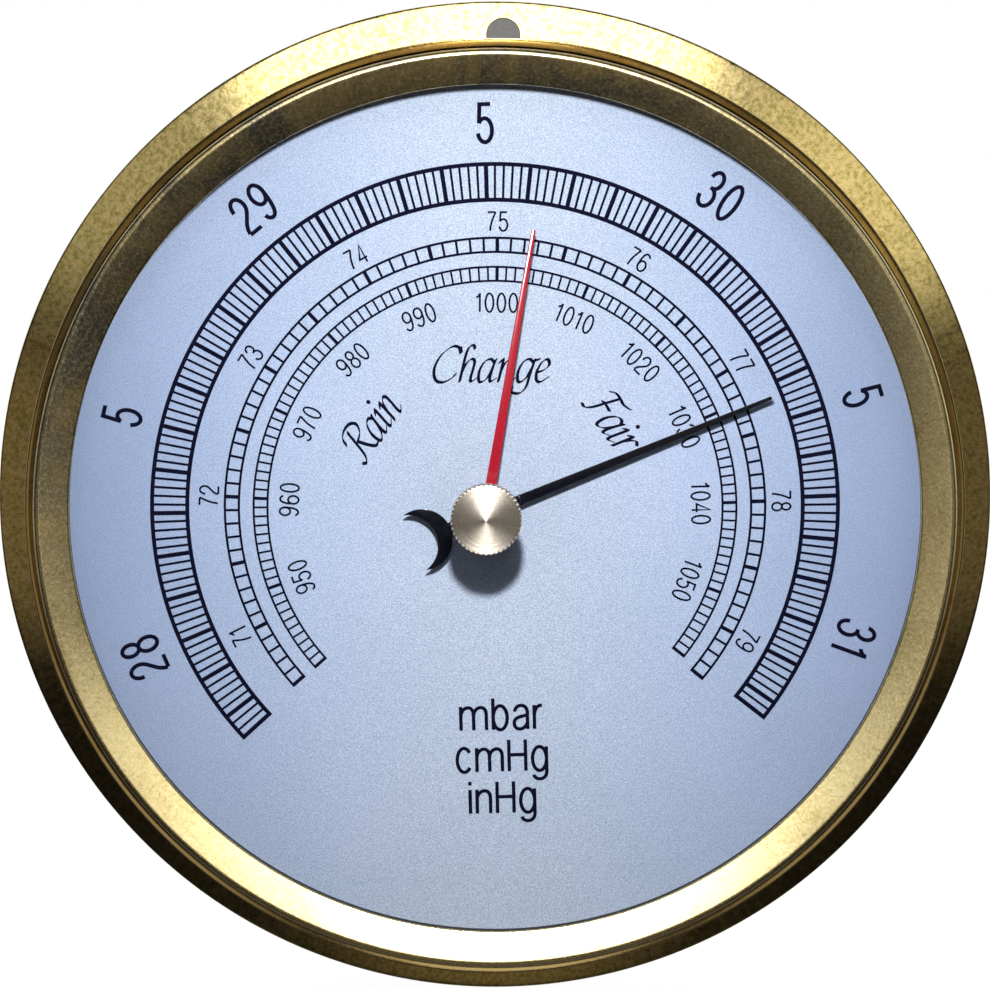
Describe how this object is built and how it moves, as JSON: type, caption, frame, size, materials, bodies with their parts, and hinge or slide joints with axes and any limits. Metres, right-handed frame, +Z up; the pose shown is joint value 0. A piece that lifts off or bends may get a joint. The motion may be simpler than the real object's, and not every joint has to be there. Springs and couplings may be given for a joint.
{
  "type": "aneroid barometer",
  "caption": "Round wall-hung brass aneroid barometer with a flanged case, glazed dial, indicating hand, and a red set hand turned by a knob through the glass.",
  "frame": {"origin": "centre of the flat back of the case, on the plane that meets the wall", "axes": "+Y points into the wall, so the dial faces -Y; +Z is up and +X is the reader's right"},
  "size_m": [0.1532, 0.0375, 0.1532],
  "materials": {
    "polished_brass": "spun brass, slightly tarnished, soft gloss",
    "satin_brass": "satin turned brass with a fine speckled grain",
    "aged_brass": "dull aged brass",
    "movement_brass": "clean machined brass",
    "bright_steel": "bright machined steel",
    "capsule_metal": "nickel-silver coloured spring metal, satin",
    "dial_aluminium": "fine bead-blasted anodised aluminium, printed in dark navy ink",
    "clear_glass": "clear flat float glass",
    "gasket_rubber": "matte black rubber",
    "black_paint": "satin black paint",
    "red_paint": "satin red paint"
  },
  "bodies": {
    "case": {"case_shell": "polished_brass", "front_collar": "polished_brass", "bezel_ring": "satin_brass", "back_pan": "aged_brass", "case_screw_1": "polished_brass", "case_screw_2": "polished_brass", "case_screw_3": "polished_brass", "movement_screw_1": "bright_steel", "movement_screw_2": "bright_steel", "movement_screw_3": "bright_steel", "dial_seat_ring": "aged_brass", "dial_plate": "dial_aluminium", "dial_spacer_ring": "aged_brass", "glass": "clear_glass", "glass_gasket": "gasket_rubber", "glass_bushing": "polished_brass", "base_plate": "movement_brass", "pillar_1": "movement_brass", "pillar_2": "movement_brass", "pillar_3": "movement_brass", "pillar_4": "movement_brass", "bridge_plate": "movement_brass", "bridge_screw_1": "bright_steel", "bridge_screw_2": "bright_steel", "bridge_screw_3": "bright_steel", "bridge_screw_4": "bright_steel", "cock_pillar_1": "movement_brass", "cock_pillar_2": "movement_brass", "cock_screw_1": "bright_steel", "cock_screw_2": "bright_steel", "sector_cock": "movement_brass", "rocker_ear_left": "movement_brass", "rocker_ear_right": "movement_brass", "capsule_foot": "movement_brass", "capsule_back_diaphragm": "capsule_metal", "capsule_front_diaphragm": "capsule_metal", "hairspring_stud": "movement_brass"},
    "set_pointer": {"set_spindle": "polished_brass", "set_hand": "red_paint", "set_knob": "polished_brass"},
    "sector": {"sector_gear": "movement_brass", "sector_arbor": "bright_steel"},
    "pointer": {"pointer_arbor": "bright_steel", "pinion": "movement_brass", "hairspring_collet": "movement_brass", "hairspring": "bright_steel", "hand_boss": "movement_brass", "indicating_hand": "black_paint", "hand_cap": "black_paint"},
    "rocker": {"rocking_shaft": "bright_steel"},
    "capsule_top": {"capsule_boss": "movement_brass"},
    "adjuster": {"adjusting_screw": "bright_steel"}
  },
  "joints": [
    {"name": "set_knob_turn", "type": "hinge", "parent": "case", "child": "set_pointer", "pos_m": [-0.0013, -0.0255, 0], "axis": [0, 1, 0], "continuous": true},
    {"name": "sector_swing", "type": "hinge", "parent": "case", "child": "sector", "pos_m": [-0.01353, -0.0157, -0.0222], "axis": [0, 1, 0], "range_deg": [-5, 16.6]},
    {"name": "pointer_turn", "type": "hinge", "parent": "case", "child": "pointer", "pos_m": [0, -0.0157, 0], "axis": [0, 1, 0], "range_deg": [-199.3, 60.1]},
    {"name": "rocker_turn", "type": "hinge", "parent": "case", "child": "rocker", "pos_m": [-0.0064, -0.012, -0.0222], "axis": [1, 0, 0], "range_deg": [-5.1, 16.7]},
    {"name": "capsule_boss_slide", "type": "slide", "parent": "case", "child": "capsule_top", "axis": [0, 1, 0], "range_m": [-0.00065, 0.0002]},
    {"name": "adjusting_screw_turn", "type": "hinge", "parent": "case", "child": "adjuster", "pos_m": [0, -0.0018, -0.02], "axis": [0, 1, 0], "range_deg": [-360, 360]}
  ],
  "couplings": [
    {"joint": "pointer_turn", "follows": "sector_swing", "ratio": -12},
    {"joint": "rocker_turn", "follows": "sector_swing", "ratio": 1},
    {"joint": "capsule_boss_slide", "follows": "sector_swing", "m_per_rad": -0.0022}
  ]
}
